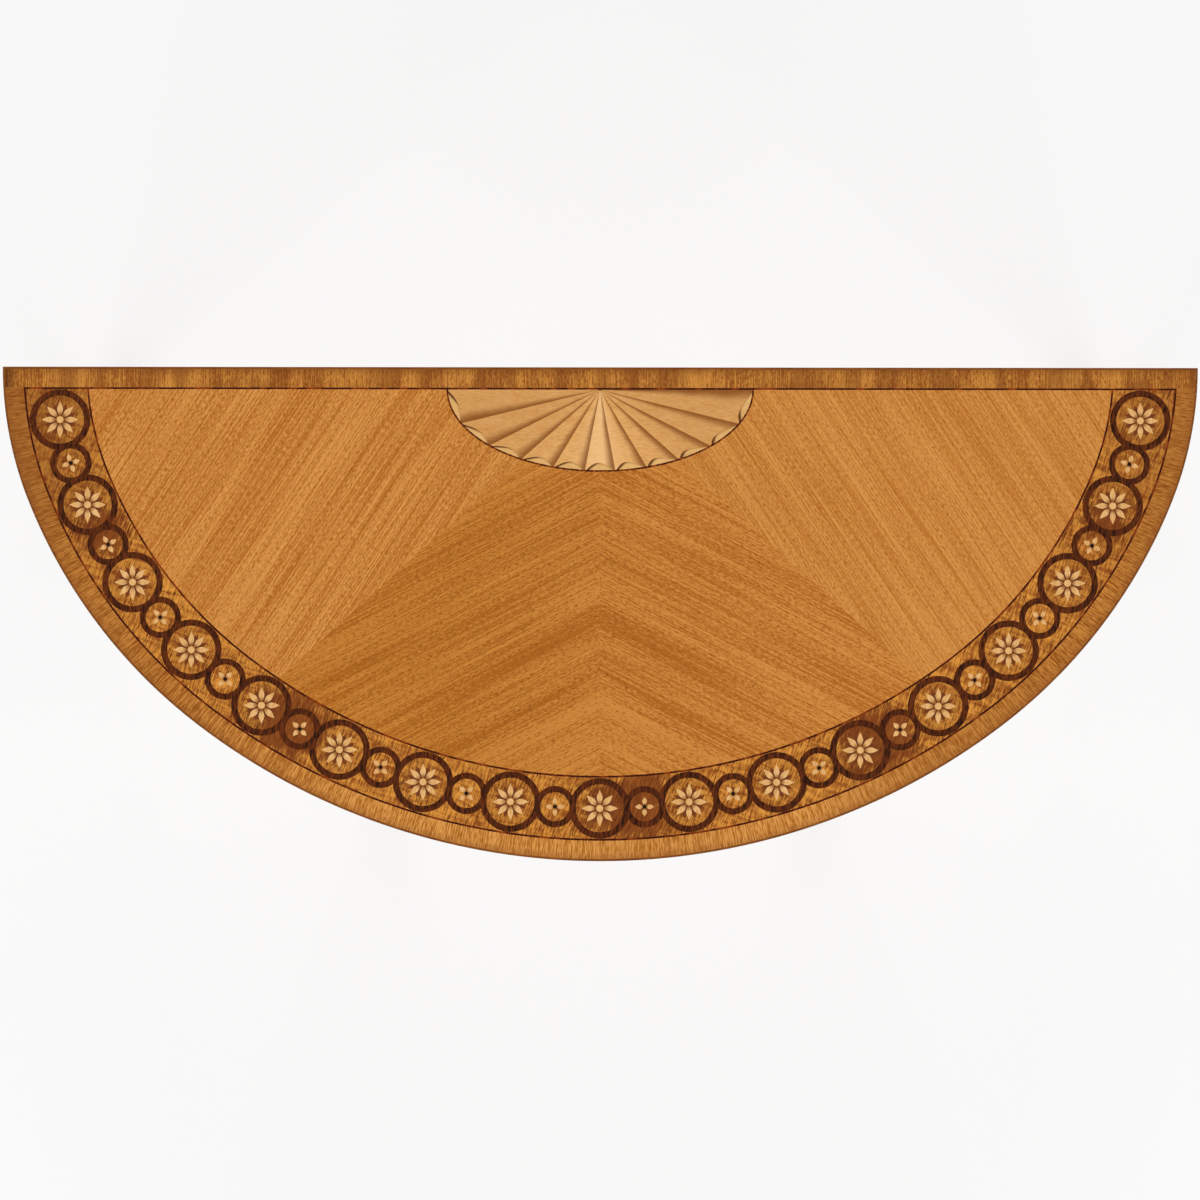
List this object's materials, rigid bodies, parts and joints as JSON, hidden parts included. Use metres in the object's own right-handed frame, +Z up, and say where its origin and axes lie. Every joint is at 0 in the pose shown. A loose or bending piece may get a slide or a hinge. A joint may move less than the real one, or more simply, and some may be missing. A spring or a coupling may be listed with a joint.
{
  "type": "demilune table",
  "caption": "Half-round side table with a straight back, an inlaid top with a fan and a border of flower roundels, a curved apron and square tapered legs with spade feet.",
  "frame": {"origin": "on the floor, below the middle of the table's bounding box", "axes": "+Z up, +Y towards the wall behind the straight back edge, +X to the right of a person facing the curved front; the curved front faces -Y"},
  "size_m": [1.22, 0.5042, 0.865],
  "materials": {
    "field_satinwood_outer": "satin lacquer on light straight-grained veneer",
    "field_satinwood_inner": "satin lacquer on darker straight-grained veneer",
    "border_veneer": "satin lacquer on figured veneer",
    "roundel_veneer": "satin lacquer on figured veneer with dark rims and light flowers",
    "small_roundel_veneer": "satin lacquer on figured veneer with dark rims and light flowers",
    "dark_string": "satin lacquer on dark stringing",
    "crossband_veneer": "satin lacquer on cross-grained veneer",
    "fan_boxwood": "satin lacquer on pale sand-shaded veneer",
    "edge_lipping": "satin lacquer on solid edge",
    "frame_mahogany": "satin lacquer on show wood",
    "core_board": "bare",
    "secondary_wood": "bare planed wood"
  },
  "bodies": {
    "root": {"top_core": "core_board", "front_edge_lipping": "edge_lipping", "back_edge_lipping": "edge_lipping", "field_leaf_outer_left": "field_satinwood_outer", "field_leaf_inner_left": "field_satinwood_inner", "field_leaf_inner_right": "field_satinwood_inner", "field_leaf_outer_right": "field_satinwood_outer", "fan_flutes": "fan_boxwood", "back_string": "dark_string", "inner_string": "dark_string", "outer_string": "dark_string", "border_ground": "border_veneer", "large_roundels": "roundel_veneer", "small_roundels": "small_roundel_veneer", "front_crossband": "crossband_veneer", "back_crossband": "crossband_veneer", "apron_left": "frame_mahogany", "apron_centre": "frame_mahogany", "apron_right": "frame_mahogany", "back_rail": "secondary_wood", "centre_brace": "secondary_wood", "glue_blocks": "secondary_wood", "leg_back_left": "frame_mahogany", "leg_front_left": "frame_mahogany", "leg_front_right": "frame_mahogany", "leg_back_right": "frame_mahogany"}
  },
  "joints": []
}
